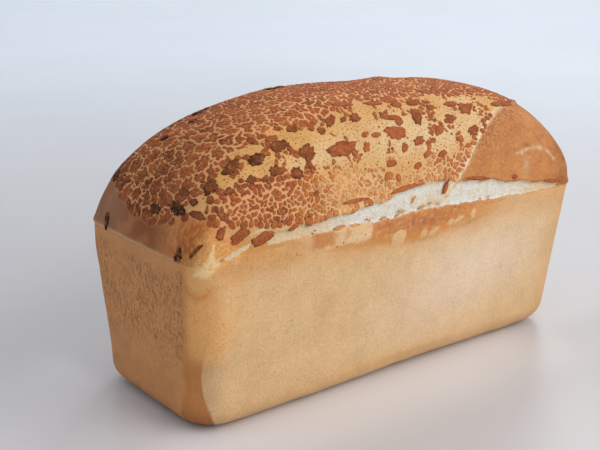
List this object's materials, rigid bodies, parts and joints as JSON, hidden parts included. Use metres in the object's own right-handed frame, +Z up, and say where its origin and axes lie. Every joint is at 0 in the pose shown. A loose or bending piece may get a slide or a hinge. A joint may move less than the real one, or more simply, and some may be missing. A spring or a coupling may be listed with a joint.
{
  "type": "tiger bread loaf",
  "caption": "Tall tin loaf with tapered sides and a domed top under a crackled rice paste crust, torn open along one long rim.",
  "frame": {"origin": "middle of the loaf's box, on the surface that the foot rests on", "axes": "+X along the length, -Y the long side with the torn burst, +Z up"},
  "size_m": [0.2816, 0.1092, 0.1597],
  "materials": {
    "crust": "dry baked crust, golden tan at the sides, red-brown plates with pale veins over the top"
  },
  "bodies": {
    "root": {"loaf": "crust"}
  },
  "joints": []
}
